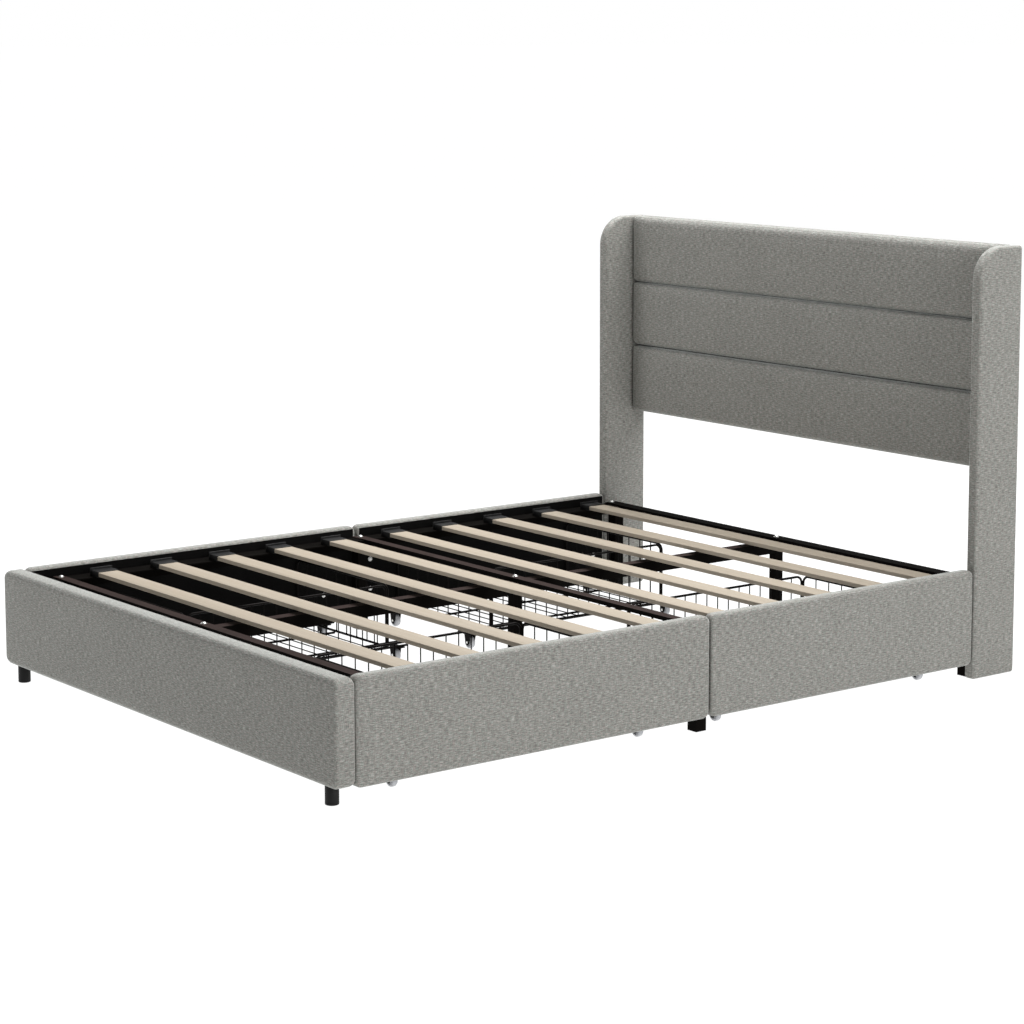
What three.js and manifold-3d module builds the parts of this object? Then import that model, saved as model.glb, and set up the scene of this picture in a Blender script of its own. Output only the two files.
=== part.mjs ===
// Full-size platform bed: wingback headboard, slatted steel deck and four rolling storage drawers.
// Millimetres, +Z up. The origin is on the floor under the middle of the bed.
// The headboard is at +Y and the footboard at -Y. Right is +X, as seen from the foot end.

import * as THREE from "three";
import { mergeVertices } from "three/addons/utils/BufferGeometryUtils.js";
import Module from "manifold-3d";

const wasm = await Module();
wasm.setup();

// ---------------------------------------------------------------- driving dimensions

const BED_WIDTH = 1463;
const BED_LENGTH = 2020;
const BED_HEIGHT = 1062;
const FIT_GAP = 0.3;

// How far welded bodies reach into each other, and how close two corners are to be one corner.
const WELD_OVERLAP = 1;
const CORNER_TOLERANCE = 1e-4;

// Stations along the bed are measured from the footboard's outer face.
const FOOT_PLANE = -BED_LENGTH / 2;

const FOOTBOARD = { thick: 51, bottom: 41, top: 273.5, corner: 20, soft: 12 };
const FOOT_LEG = { radius: 15, inset: 51.5, station: 25.8 };

const WING = { thick: 32, depth: 145.6, corner: 80, soft: 6 };
const PANEL = { thick: 59.6, bottom: 506, sideGap: 1.2, crown: 9, seams: [694, 873] };

const CROSS_RAIL = { top: 248, sheet: 2.7, lip: 3, lipBottom: 238.3, halfSpan: 697, lipHalf: 638 };
const RAIL_WIDTH = { foot: 26.5, mid: 27, head: 36 };
const RAIL_STATION = { foot: 130.8, mid: 1018, head: 1890.5 };
const SIDE_LEG = { size: 30, outer: 697.5, station: { mid: 1018, head: 1900 } };
const BOLT_HOLE = { radius: 4, depth: 20, sideX: 679 };

const SIDE_RAIL = { inner: 640, outer: 697, sheet: 3, top: 245, bottom: 214, flangeBottom: 190 };
const BEAM = { width: 30, height: 30, top: 238, from: 119, to: 1900, legSize: 25 };

const SLAT = { width: 51, thick: 9.5, top: 258, halfLength: 650, edge: 1.5, seat: 9.5 };
const SLAT_PITCH = 170;
const SLAT_STATION = { footHalf: 207.3, headHalf: 1078.7, perHalf: 5 };

const FRONT = { thick: 33, bottom: 37, top: 274, corner: 16, soft: 7 };
const BASKET = { back: 275, front: 697.6, floor: 45, rim: 209, wall: 4, frame: 6, wire: 4, round: 15 };
const MESH_PITCH = { along: 73, across: 140, floorAlong: 118 };
const CASTER = { wheel: 16, tread: 14, centre: 16.2, pin: 2.2, bore: 2.8, backX: 309, frontX: 645 };
const CASTER_BAR = { width: 6, drop: 4, half: 23, overhang: 22 };
const FORK = { thick: 2, clear: 0.8, reach: 10, low: 9, plate: 3, half: 26 };

// Each drawer row: the front's two ends, the basket's two ends and its two caster stations.
const DRAWERS = {
  foot: { front: [54, 1015], basket: [242, 830], casters: [199, 873] },
  head: { front: [1021, 1870], basket: [1147, 1730], casters: [1107, 1767] },
};

const CURVE_STEPS = 4;
const SOFT_STEPS = 2;
const ROUND_SIDES = 16;
const PIN_SIDES = 8;

// ---------------------------------------------------------------- materials

const LOOKS = {
  fabric: { color: 0x9c9d98, roughness: 0.95, metalness: 0 },
  steel: { color: 0x1b1818, roughness: 0.5, metalness: 0.6 },
  wood: { color: 0xdccfb6, roughness: 0.7, metalness: 0 },
  wire: { color: 0x121212, roughness: 0.45, metalness: 0.6 },
  plastic: { color: 0x191919, roughness: 0.5, metalness: 0 },
  tyre: { color: 0xb9bbbf, roughness: 0.35, metalness: 0 },
};

const model = new THREE.Group();

function addNode(name, geometry, look, parent = model) {
  const mesh = new THREE.Mesh(geometry, new THREE.MeshStandardMaterial(LOOKS[look]));
  mesh.name = name;
  parent.add(mesh);
  return mesh;
}

// ---------------------------------------------------------------- solids and booleans

function toSolid(geometry) {
  const bare = geometry.clone();
  bare.deleteAttribute("normal");
  bare.deleteAttribute("uv");
  const merged = mergeVertices(bare, CORNER_TOLERANCE);
  const vertProperties = new Float32Array(merged.attributes.position.array);
  const triVerts = new Uint32Array(merged.index.array);
  return new wasm.Manifold(new wasm.Mesh({ numProp: 3, vertProperties, triVerts }));
}

function toGeometry(solid) {
  const mesh = solid.getMesh();
  const geometry = new THREE.BufferGeometry();
  geometry.setAttribute("position", new THREE.BufferAttribute(mesh.vertProperties, 3));
  geometry.setIndex(new THREE.BufferAttribute(mesh.triVerts, 1));
  geometry.computeVertexNormals();
  return geometry;
}

// Joins overlapping geometries into one body, then cuts the others away.
function weld(parts, cuts = []) {
  const whole = parts.map(toSolid).reduce((sum, part) => sum.add(part));
  return toGeometry(cuts.map(toSolid).reduce((left, cut) => left.subtract(cut), whole));
}

// A box given by its lowest and highest corners.
function block(low, high) {
  const size = high.map((value, axis) => value - low[axis]);
  const middle = high.map((value, axis) => (value + low[axis]) / 2);
  return new THREE.BoxGeometry(...size).translate(...middle);
}

function rod(radius, length, axis, centre, sides = PIN_SIDES) {
  const geometry = new THREE.CylinderGeometry(radius, radius, length, sides);
  if (axis === "z") geometry.rotateX(Math.PI / 2);
  return geometry.translate(...centre);
}

// Traces a rectangle with its own radius at each corner, counted from bottom left by way of bottom right.
function roundedOutline(left, bottom, right, top, radii) {
  const [lowLeft, lowRight, highRight, highLeft] = radii;
  const shape = new THREE.Shape();
  shape.moveTo(left + lowLeft, bottom);
  shape.lineTo(right - lowRight, bottom);
  if (lowRight) shape.absarc(right - lowRight, bottom + lowRight, lowRight, -Math.PI / 2, 0);
  shape.lineTo(right, top - highRight);
  if (highRight) shape.absarc(right - highRight, top - highRight, highRight, 0, Math.PI / 2);
  shape.lineTo(left + highLeft, top);
  if (highLeft) shape.absarc(left + highLeft, top - highLeft, highLeft, Math.PI / 2, Math.PI);
  shape.lineTo(left, bottom + lowLeft);
  if (lowLeft) shape.absarc(left + lowLeft, bottom + lowLeft, lowLeft, Math.PI, 1.5 * Math.PI);
  return shape;
}

// An upholstered board: an outline extruded to its thickness, with its edges eased by the padding.
function paddedBoard(left, bottom, right, top, radii, thick, soft) {
  const eased = radii.map((radius) => Math.max(radius - soft, 0));
  const outline = roundedOutline(left + soft, bottom + soft, right - soft, top - soft, eased);
  const geometry = new THREE.ExtrudeGeometry(outline, {
    depth: thick - 2 * soft,
    bevelEnabled: true,
    bevelSize: soft,
    bevelThickness: soft,
    bevelSegments: SOFT_STEPS,
    curveSegments: CURVE_STEPS,
  });
  return geometry.translate(0, 0, soft);
}

// Turns an XY outline extruded along Z so that it stands up and runs along the bed's width (X).
function standAcrossWidth(geometry) {
  return geometry.rotateX(Math.PI / 2).rotateZ(Math.PI / 2);
}

// ---------------------------------------------------------------- upholstered boards

function makeFootboard() {
  const half = BED_WIDTH / 2;
  const { thick, bottom, top, corner, soft } = FOOTBOARD;
  const board = paddedBoard(-half, bottom, half, top, Array(4).fill(corner), thick, soft);
  const mesh = addNode("footboard", board.rotateX(Math.PI / 2), "fabric");
  mesh.position.y = FOOT_PLANE + thick;
  for (const [side, sign] of [["left", -1], ["right", 1]]) {
    const length = bottom - FIT_GAP;
    const post = rod(FOOT_LEG.radius, length, "z", [0, 0, length / 2], ROUND_SIDES);
    const leg = addNode(`foot_leg_${side}`, post, "plastic");
    leg.position.set(sign * (half - FOOT_LEG.inset), FOOT_PLANE + FOOT_LEG.station, 0);
  }
}

function makeWing(side, sign) {
  const front = BED_LENGTH / 2 - WING.depth;
  const radii = [WING.soft, WING.soft, WING.soft, WING.corner];
  const board = paddedBoard(front, 0, BED_LENGTH / 2, BED_HEIGHT, radii, WING.thick, WING.soft);
  const mesh = addNode(`wing_${side}`, standAcrossWidth(board), "fabric");
  const outer = BED_WIDTH / 2;
  mesh.position.x = sign > 0 ? outer - WING.thick : -outer;
}

// The panel's front face is three horizontal channels, each a shallow crown between two seams.
function makeHeadboardPanel() {
  const front = BED_LENGTH / 2 - PANEL.thick;
  const levels = [PANEL.bottom, ...PANEL.seams, BED_HEIGHT];
  const profile = new THREE.Shape();
  profile.moveTo(BED_LENGTH / 2, PANEL.bottom);
  profile.lineTo(BED_LENGTH / 2, BED_HEIGHT);
  profile.lineTo(front + PANEL.crown, BED_HEIGHT);
  for (let i = levels.length - 1; i > 0; i -= 1) {
    const crest = front - PANEL.crown;
    profile.quadraticCurveTo(crest, (levels[i] + levels[i - 1]) / 2, front + PANEL.crown, levels[i - 1]);
  }
  profile.closePath();
  const halfWidth = BED_WIDTH / 2 - WING.thick - PANEL.sideGap;
  const options = { depth: 2 * halfWidth, bevelEnabled: false, curveSegments: CURVE_STEPS };
  const panel = new THREE.ExtrudeGeometry(profile, options);
  const mesh = addNode("headboard_panel", standAcrossWidth(panel), "fabric");
  mesh.position.x = -halfWidth;
}

// ---------------------------------------------------------------- steel deck

// A pressed cross rail: a flat top with a shallow lip down each long edge, notched over the side rails.
function crossRailParts(y, width) {
  const { top, sheet, lip, lipBottom, halfSpan, lipHalf } = CROSS_RAIL;
  const half = width / 2;
  return [
    block([-halfSpan, y - half, top - sheet], [halfSpan, y + half, top]),
    block([-lipHalf, y - half, lipBottom], [lipHalf, y - half + lip, top]),
    block([-lipHalf, y + half - lip, lipBottom], [lipHalf, y + half, top]),
  ];
}

function makeFootCrossRail() {
  const y = FOOT_PLANE + RAIL_STATION.foot;
  const { radius, depth, sideX } = BOLT_HOLE;
  const holes = [-sideX, 0, sideX].map((x) => rod(radius, depth, "z", [x, y, CROSS_RAIL.top]));
  addNode("foot_cross_rail", weld(crossRailParts(y, RAIL_WIDTH.foot), holes), "steel");
}

// The middle and head cross rails stand on a square leg at each end.
function makeLeggedCrossRail(row) {
  const parts = crossRailParts(FOOT_PLANE + RAIL_STATION[row], RAIL_WIDTH[row]);
  const legY = FOOT_PLANE + SIDE_LEG.station[row];
  const half = SIDE_LEG.size / 2;
  for (const sign of [-1, 1]) {
    const x = sign * (SIDE_LEG.outer - half);
    const legTop = CROSS_RAIL.top - CROSS_RAIL.sheet / 2;
    parts.push(block([x - half, legY - half, 0], [x + half, legY + half, legTop]));
  }
  addNode(`${row}_cross_rail`, weld(parts), "steel");
}

// An angle-steel side rail with its ledge inward, open for the drawer below.
function makeSideRail(name, sign, fromStation, toStation, hasFlange) {
  const { inner, outer, sheet, top, bottom, flangeBottom } = SIDE_RAIL;
  const span = (near, far) => (sign > 0 ? [near, far] : [-far, -near]);
  const piece = (near, far, start, end, low) => {
    const [left, right] = span(near, far);
    return block([left, FOOT_PLANE + start, low], [right, FOOT_PLANE + end, top]);
  };
  const parts = [
    piece(inner, outer, fromStation, toStation, top - sheet),
    piece(outer - sheet, outer, fromStation, toStation, bottom),
  ];
  if (hasFlange) parts.push(piece(inner, outer, fromStation, fromStation + sheet, flangeBottom));
  addNode(name, weld(parts), "steel");
}

function makeSideRails() {
  const legHalf = SIDE_LEG.size / 2 + FIT_GAP;
  const spans = {
    foot: [FOOTBOARD.thick + FIT_GAP, SIDE_LEG.station.mid - legHalf, true],
    head: [SIDE_LEG.station.mid + legHalf, SIDE_LEG.station.head - legHalf, false],
  };
  for (const [half, [from, to, hasFlange]] of Object.entries(spans)) {
    makeSideRail(`side_rail_left_${half}`, -1, from, to, hasFlange);
    makeSideRail(`side_rail_right_${half}`, 1, from, to, hasFlange);
  }
}

// The square-tube centre beam hangs under the three cross rails on its own two legs.
function makeCentreBeam() {
  const { width, height, top, from, to, legSize } = BEAM;
  const parts = [
    block([-width / 2, FOOT_PLANE + from, top - height], [width / 2, FOOT_PLANE + to, top]),
  ];
  for (const station of [RAIL_STATION.mid, RAIL_STATION.head]) {
    const y = FOOT_PLANE + station;
    parts.push(block([-legSize / 2, y - legSize / 2, 0], [legSize / 2, y + legSize / 2, top - height / 2]));
  }
  addNode("centre_beam", weld(parts), "steel");
}

// Each slat stands on a low seat at both ends, which rests on the side rails' ledges.
function makeSlats() {
  const { width, thick, top, halfLength, edge, seat } = SLAT;
  const outline = new THREE.Shape();
  const half = width / 2;
  outline.moveTo(-half, edge);
  outline.lineTo(-half + edge, 0);
  outline.lineTo(half - edge, 0);
  outline.lineTo(half, edge);
  outline.lineTo(half, thick - edge);
  outline.lineTo(half - edge, thick);
  outline.lineTo(-half + edge, thick);
  outline.lineTo(-half, thick - edge);
  outline.closePath();
  const board = new THREE.ExtrudeGeometry(outline, { depth: 2 * halfLength, bevelEnabled: false });
  const seatLow = SIDE_RAIL.top + FIT_GAP - (top - thick);
  const seats = [0, 2 * halfLength - seat].map((start) => block(
    [start, -half, seatLow],
    [start + seat, half, WELD_OVERLAP],
  ));
  const geometry = weld([standAcrossWidth(board), ...seats]);
  const starts = [SLAT_STATION.footHalf, SLAT_STATION.headHalf];
  starts.forEach((start, halfIndex) => {
    for (let i = 0; i < SLAT_STATION.perHalf; i += 1) {
      const number = String(halfIndex * SLAT_STATION.perHalf + i + 1).padStart(2, "0");
      const slat = addNode(`slat_${number}`, geometry, "wood");
      slat.position.set(-halfLength, FOOT_PLANE + start + i * SLAT_PITCH + half, top - thick);
    }
  });
}

// ---------------------------------------------------------------- drawers

// Cuts a grid of windows through a flat panel that stands on the XY plane, leaving the wires between them.
function openGrid(outline, width, height, columns, rows) {
  const { frame, wire, wall } = BASKET;
  const cellWidth = (width - 2 * frame - (columns - 1) * wire) / columns;
  const cellHeight = (height - 2 * frame - (rows - 1) * wire) / rows;
  const windows = [];
  for (let column = 0; column < columns; column += 1) {
    for (let row = 0; row < rows; row += 1) {
      const x = frame + column * (cellWidth + wire);
      const y = frame + row * (cellHeight + wire);
      windows.push(block([x, y, -wall], [x + cellWidth, y + cellHeight, 2 * wall]));
    }
  }
  const options = { depth: wall, bevelEnabled: false, curveSegments: CURVE_STEPS };
  return weld([new THREE.ExtrudeGeometry(outline, options)], windows);
}

function wallPanel(width, height, pitch) {
  const { round } = BASKET;
  const outline = roundedOutline(0, 0, width, height, [0, 0, round, round]);
  return openGrid(outline, width, height, Math.round(width / pitch), 1);
}

// The basket's floor: a wire grid on two pairs of bars that reach out past it to the four casters.
function basketFloor(depth, length, casterOffsets) {
  const { floor } = BASKET;
  const columns = Math.round(depth / MESH_PITCH.across);
  const rows = Math.round(length / MESH_PITCH.floorAlong);
  const outline = roundedOutline(0, 0, depth, length, [0, 0, 0, 0]);
  const parts = [openGrid(outline, depth, length, columns, rows).translate(0, 0, floor)];
  const barTop = floor + WELD_OVERLAP;
  const barBottom = floor - CASTER_BAR.drop;
  const [first, last] = casterOffsets;
  for (const caster of [CASTER.backX, CASTER.frontX]) {
    const x = caster - BASKET.back;
    for (const side of [-1, 1]) {
      const middle = x + side * CASTER_BAR.half;
      parts.push(block(
        [middle - CASTER_BAR.width / 2, first - CASTER_BAR.overhang, barBottom],
        [middle + CASTER_BAR.width / 2, last + CASTER_BAR.overhang, barTop],
      ));
    }
    for (const y of casterOffsets) parts.push(...casterFork(x, y, barBottom));
  }
  return weld(parts);
}

function casterFork(x, y, barBottom) {
  const cheekInner = CASTER.tread / 2 + FORK.clear;
  const cheekOuter = cheekInner + FORK.thick;
  const plateBottom = barBottom - FORK.plate;
  const parts = [
    block(
      [x - FORK.half, y - CASTER_BAR.overhang, plateBottom],
      [x + FORK.half, y + CASTER_BAR.overhang, barBottom + WELD_OVERLAP],
    ),
    rod(CASTER.pin, 2 * cheekOuter, "y", [x, y, CASTER.centre]),
  ];
  for (const side of [-1, 1]) {
    const near = y + side * cheekInner;
    const far = y + side * cheekOuter;
    parts.push(block(
      [x - FORK.reach, Math.min(near, far), FORK.low],
      [x + FORK.reach, Math.max(near, far), plateBottom + WELD_OVERLAP],
    ));
  }
  return parts;
}

function wheelGeometry() {
  const half = CASTER.tread / 2;
  const profile = [
    [CASTER.bore, -half],
    [CASTER.wheel, -half],
    [CASTER.wheel, half],
    [CASTER.bore, half],
    [CASTER.bore, -half],
  ];
  return new THREE.LatheGeometry(profile.map(([r, z]) => new THREE.Vector2(r, z)), ROUND_SIDES);
}

// One drawer. The basket is built on a turned frame with X pointing out of the bed and Y along it.
function makeDrawer(row, side) {
  const { front, basket, casters } = DRAWERS[row];
  const sign = side === "right" ? 1 : -1;
  const prefix = `drawer_${side}_${row}`;
  const length = basket[1] - basket[0];
  const depth = BASKET.front - BASKET.back;
  const wallHeight = BASKET.rim - BASKET.floor - BASKET.wall - FIT_GAP;
  const wallBottom = BASKET.floor + BASKET.wall + FIT_GAP;

  const board = paddedBoard(
    FOOT_PLANE + front[0], FRONT.bottom, FOOT_PLANE + front[1], FRONT.top,
    Array(4).fill(FRONT.corner), FRONT.thick, FRONT.soft,
  );
  const face = addNode(`${prefix}_front`, standAcrossWidth(board), "fabric");
  face.position.x = sign > 0 ? BED_WIDTH / 2 - FRONT.thick : -BED_WIDTH / 2;

  // The left drawers are the right ones turned half round, so their first end is the head end.
  const frame = new THREE.Group();
  model.add(frame);
  const ends = sign > 0 ? basket : [...basket].reverse();
  frame.position.set(sign * BASKET.back, FOOT_PLANE + ends[0], 0);
  if (sign < 0) frame.rotation.z = Math.PI;
  const offsets = casters.map((station) => sign * (station - ends[0])).sort((a, b) => a - b);
  const endNames = sign > 0 ? ["foot", "head"] : ["head", "foot"];

  addNode(`${prefix}_basket_bottom`, basketFloor(depth, length, offsets), "wire", frame);

  const across = wallPanel(depth, wallHeight, MESH_PITCH.across).rotateX(Math.PI / 2);
  for (const [index, y] of [BASKET.wall, length].entries()) {
    const wall = addNode(`${prefix}_basket_side_${endNames[index]}`, across, "wire", frame);
    wall.position.set(0, y, wallBottom);
  }

  const backLength = length - 2 * (BASKET.wall + FIT_GAP);
  const back = wallPanel(backLength, wallHeight, MESH_PITCH.along);
  const wall = addNode(`${prefix}_basket_back`, standAcrossWidth(back), "wire", frame);
  wall.position.set(0, BASKET.wall + FIT_GAP, wallBottom);

  const wheel = wheelGeometry();
  for (const [place, x] of [["back", CASTER.backX], ["front", CASTER.frontX]]) {
    for (const [index, y] of offsets.entries()) {
      const roller = addNode(`${prefix}_wheel_${place}_${endNames[index]}`, wheel, "tyre", frame);
      roller.position.set(x - BASKET.back, y, CASTER.centre);
    }
  }
}

// ---------------------------------------------------------------- assembly

makeFootboard();
makeWing("left", -1);
makeWing("right", 1);
makeHeadboardPanel();
makeFootCrossRail();
makeLeggedCrossRail("mid");
makeLeggedCrossRail("head");
makeSideRails();
makeCentreBeam();
makeSlats();
for (const row of ["foot", "head"]) {
  for (const side of ["left", "right"]) makeDrawer(row, side);
}

export default model;
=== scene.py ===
"""The visible surfaces of a platform bed with storage drawers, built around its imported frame."""

import math

import bmesh
import bpy
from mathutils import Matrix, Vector, noise


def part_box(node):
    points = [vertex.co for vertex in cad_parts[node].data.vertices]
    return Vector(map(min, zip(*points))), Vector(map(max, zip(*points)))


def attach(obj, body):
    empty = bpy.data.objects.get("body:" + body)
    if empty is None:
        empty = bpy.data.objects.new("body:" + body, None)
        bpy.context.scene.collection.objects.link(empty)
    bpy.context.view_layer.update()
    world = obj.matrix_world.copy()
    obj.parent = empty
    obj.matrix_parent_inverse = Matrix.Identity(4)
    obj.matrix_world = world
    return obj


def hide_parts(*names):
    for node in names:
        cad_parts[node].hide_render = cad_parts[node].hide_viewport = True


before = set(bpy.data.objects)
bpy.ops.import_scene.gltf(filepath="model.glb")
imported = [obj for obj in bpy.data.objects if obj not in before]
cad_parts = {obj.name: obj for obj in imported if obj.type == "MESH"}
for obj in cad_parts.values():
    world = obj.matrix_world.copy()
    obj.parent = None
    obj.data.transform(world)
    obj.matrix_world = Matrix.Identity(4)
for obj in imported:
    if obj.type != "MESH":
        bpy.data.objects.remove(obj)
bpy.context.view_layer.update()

MM = 0.001
SCENE = bpy.context.scene
SIDES = {"left": -1, "right": 1}
ROWS = ("foot", "head")
ENDS = ("foot", "head")
SLATS = [f"slat_{n:02d}" for n in range(1, 11)]
X, Y, Z = Vector((1, 0, 0)), Vector((0, 1, 0)), Vector((0, 0, 1))

# Mesh code
SHARP_EDGE = math.radians(40)
ARC_STEPS = 3
BEND_STEPS = 6
THIN_WIRE_SIDES = 8
THICK_WIRE_SIDES = 10
TURNED_STEPS = 20

# Upholstery
FACE_ROUND = 12 * MM
END_ROUND = 5 * MM
DRAWER_FACE_ROUND = 9 * MM
FOAM_REACH = 55 * MM
CLOTH_WAVE = 0.35 * MM
CLOTH_WAVE_SCALE = 9.0
CLOTH_WAVE_LEVEL = 0.13
RIPPLE = {"share": 0.5, "scale": 2.7}
BOARD_PITCH = 22 * MM
FINE_STEP = 4 * MM
ROUND_STEPS = 4
THIN_EDGE_BANDS = 8

# Headboard: the seams are shares of the panel's height, counted from its lower edge
CHANNEL_SEAMS = (0.3381, 0.6601)
CHANNEL_DEPTH = 38 * MM
CHANNEL_INSET = 4 * MM
CHANNEL_GAP = 2.5 * MM
BACKING_GAP = 0.3 * MM
WING_TOP_ROUND = 80 * MM

# Drawer lining, of whose thickness a share stands out of the board, and its bolts, counted from the end
# next to the other drawer and from the far end
LINING_EDGE = 7 * MM
LINING_THICK = 1.0 * MM
LINING_ROUND = 0.45 * MM
LINING_SHARE_OUT = 0.6
LINING_BOLTS = {"foot": (102 * MM, 40 * MM), "head": (41 * MM, 41 * MM)}
LINING_BOLT_HEIGHTS = (100 * MM, 180 * MM)
LINING_BOLT_HEAD = 5 * MM

# Slats, whose boards are a little wider and thinner than the frame's, and their holders
SLAT_SEAT = 2.4 * MM
SLAT_SIDE = 1.4 * MM
SLAT_EASE = 1.5 * MM
SLAT_STEPS = 26
SLAT_BOW = {"depth": 0.25 * MM, "turns": 9, "phase": 40}
SLAT_CAP = {"reach": 13 * MM, "cover": 24 * MM, "wall": 2.6 * MM, "lift": 1.6 * MM, "gap": 0.5 * MM,
            "round": 1 * MM}

# Deck bolts
DECK_RAIL_WIDTH = {"foot": 26.5 * MM, "mid": 27 * MM, "head": 36 * MM}
DECK_BOLT_PLACE = 679 * MM
HEAD_LEFT_BOLT_PLACE = 691 * MM
DECK_BOLT_SINK = 0.2 * MM
DECK_BOLT_HEAD = 6.2 * MM
WASHER = {"reach": 1.25, "thick": 1.0 * MM, "chamfer": 0.1 * MM}
DOME = {"rise": 0.62, "steps": 6, "flat": 0.12}

# Foot legs
LEG_STEPS = 40
LEG_CHAMFER = 2 * MM
LEG_GROOVE = {"low": 5 * MM, "high": 6.6 * MM, "slope": 0.4 * MM, "depth": 0.5 * MM}

# Wire baskets
BASKET_FLOOR = 47 * MM
WIRE = 1.5 * MM
FRAME_WIRE = 3.0 * MM
BAR = 3.0 * MM
BACK_PITCH = 35 * MM
SIDE_PITCH = 44 * MM
FLOOR_EDGE = 2 * MM
RIM_BEND = 18 * MM
MIDDLE_BAR_PLACE = 518 * MM
CASTER_BAR_OFFSET = 23 * MM

# Casters: a fork of a top plate and two cheeks, a pin, and a wheel
FORK_PLATE = {"half_length": 27 * MM, "overhang": 4 * MM, "thick": 3 * MM, "round": 1 * MM}
FORK_CHEEK = {"half_top": 12 * MM, "overlap": 2 * MM, "eye": 7.5 * MM, "gap": 0.9 * MM, "thick": 2 * MM}
FORK_EYE_ARC = {"from": 200, "sweep": 140, "steps": 8}
PIN = {"shank": 2.2 * MM, "rim": 3.4 * MM, "face": 3.2 * MM, "tip": 1.0 * MM, "side": 0.8 * MM,
       "head": 1.2 * MM}
WHEEL_STEPS = 48
WHEEL_BORE = 2.8 * MM
TREAD_EDGE = 4.2 * MM
# From the hub outwards in mm: a radius, and how deep the wheel's face lies there below its side
WHEEL_FACE = ((2.8, 1.0), (3.4, 0), (5.2, 0), (5.6, 3.0), (10.2, 3.0), (10.8, 0.6), (13.2, 0.6),
              (14.6, 1.2), (15.6, 2.6))


# ---------------------------------------------------------------- materials


class Finish:
    """A node material with one Principled shader. Uniform values go straight on the shader's sockets."""

    def __init__(self, name, **sockets):
        self.material = bpy.data.materials.new(name)
        self.material.use_nodes = True
        self.tree = self.material.node_tree
        self.shader = self.tree.nodes["Principled BSDF"]
        for socket, value in sockets.items():
            self.shader.inputs[socket.replace("_", " ")].default_value = value

    def node(self, kind, inputs=None, **settings):
        made = self.tree.nodes.new(kind)
        for key, value in settings.items():
            setattr(made, key, value)
        for key, value in (inputs or {}).items():
            if isinstance(value, bpy.types.NodeSocket):
                self.tree.links.new(value, made.inputs[key])
            else:
                made.inputs[key].default_value = value
        return made

    def plane(self):
        """Metres along the piece's own surface, from its cloth map."""
        return self.node("ShaderNodeUVMap", uv_map="cloth").outputs["UV"]

    def space(self):
        return self.node("ShaderNodeTexCoord").outputs["Object"]

    def grain(self, place, scale, detail=2.0, roughness=0.55):
        """Noise whose grains have the given number to the metre along each axis."""
        mapped = self.node("ShaderNodeMapping", {"Vector": place, "Scale": scale})
        look = {"Vector": mapped.outputs["Vector"], "Scale": 1.0, "Detail": detail, "Roughness": roughness}
        return self.node("ShaderNodeTexNoise", look).outputs["Fac"]

    def math(self, operation, first, second=0.0):
        made = self.node("ShaderNodeMath", {0: first, 1: second}, operation=operation)
        return made.outputs["Value"]

    def ramp(self, factor, stops):
        made = self.node("ShaderNodeValToRGB", {"Fac": factor})
        band = made.color_ramp
        while len(band.elements) < len(stops):
            band.elements.new(0.5)
        for element, (position, colour) in zip(band.elements, stops):
            element.position = position
            element.color = (*colour, 1.0)
        return made.outputs["Color"]

    def blend(self, factor, first, second, kind="MIX"):
        made = self.node("ShaderNodeMix", data_type="RGBA", blend_type=kind)
        for socket, value in ((0, factor), (6, first), (7, second)):
            if isinstance(value, bpy.types.NodeSocket):
                self.tree.links.new(value, made.inputs[socket])
            else:
                made.inputs[socket].default_value = value
        return made.outputs[2]

    def mixed_grain(self, place, parts):
        """Plain grains of several scales, added up by their shares."""
        total = 0.0
        for scale, share in parts:
            total = self.math("ADD", total, self.math("MULTIPLY", self.grain(place, scale, 1.0, 0.5), share))
        return total

    def thread_grid(self, place, per_metre):
        """A height that waves once for each thread, along both ways of the cloth."""
        turns = 2 * math.pi * per_metre
        split = self.node("ShaderNodeSeparateXYZ", {"Vector": place})
        waves = [self.math("SINE", self.math("MULTIPLY", split.outputs[axis], turns)) for axis in "XY"]
        return self.math("MULTIPLY", *waves)

    def two_tone(self, factor, dark, light):
        return self.ramp(factor, ((0.3, dark), (0.7, light)))

    def colour(self, socket):
        self.tree.links.new(socket, self.shader.inputs["Base Color"])

    def roughness(self, factor, least, most):
        spread = self.node("ShaderNodeMapRange", {"Value": factor, "To Min": least, "To Max": most})
        self.tree.links.new(spread.outputs["Result"], self.shader.inputs["Roughness"])

    def relief(self, height, depth):
        inputs = {"Height": height, "Distance": depth, "Strength": 1.0}
        bump = self.node("ShaderNodeBump", inputs)
        self.tree.links.new(bump.outputs["Normal"], self.shader.inputs["Normal"])


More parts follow.
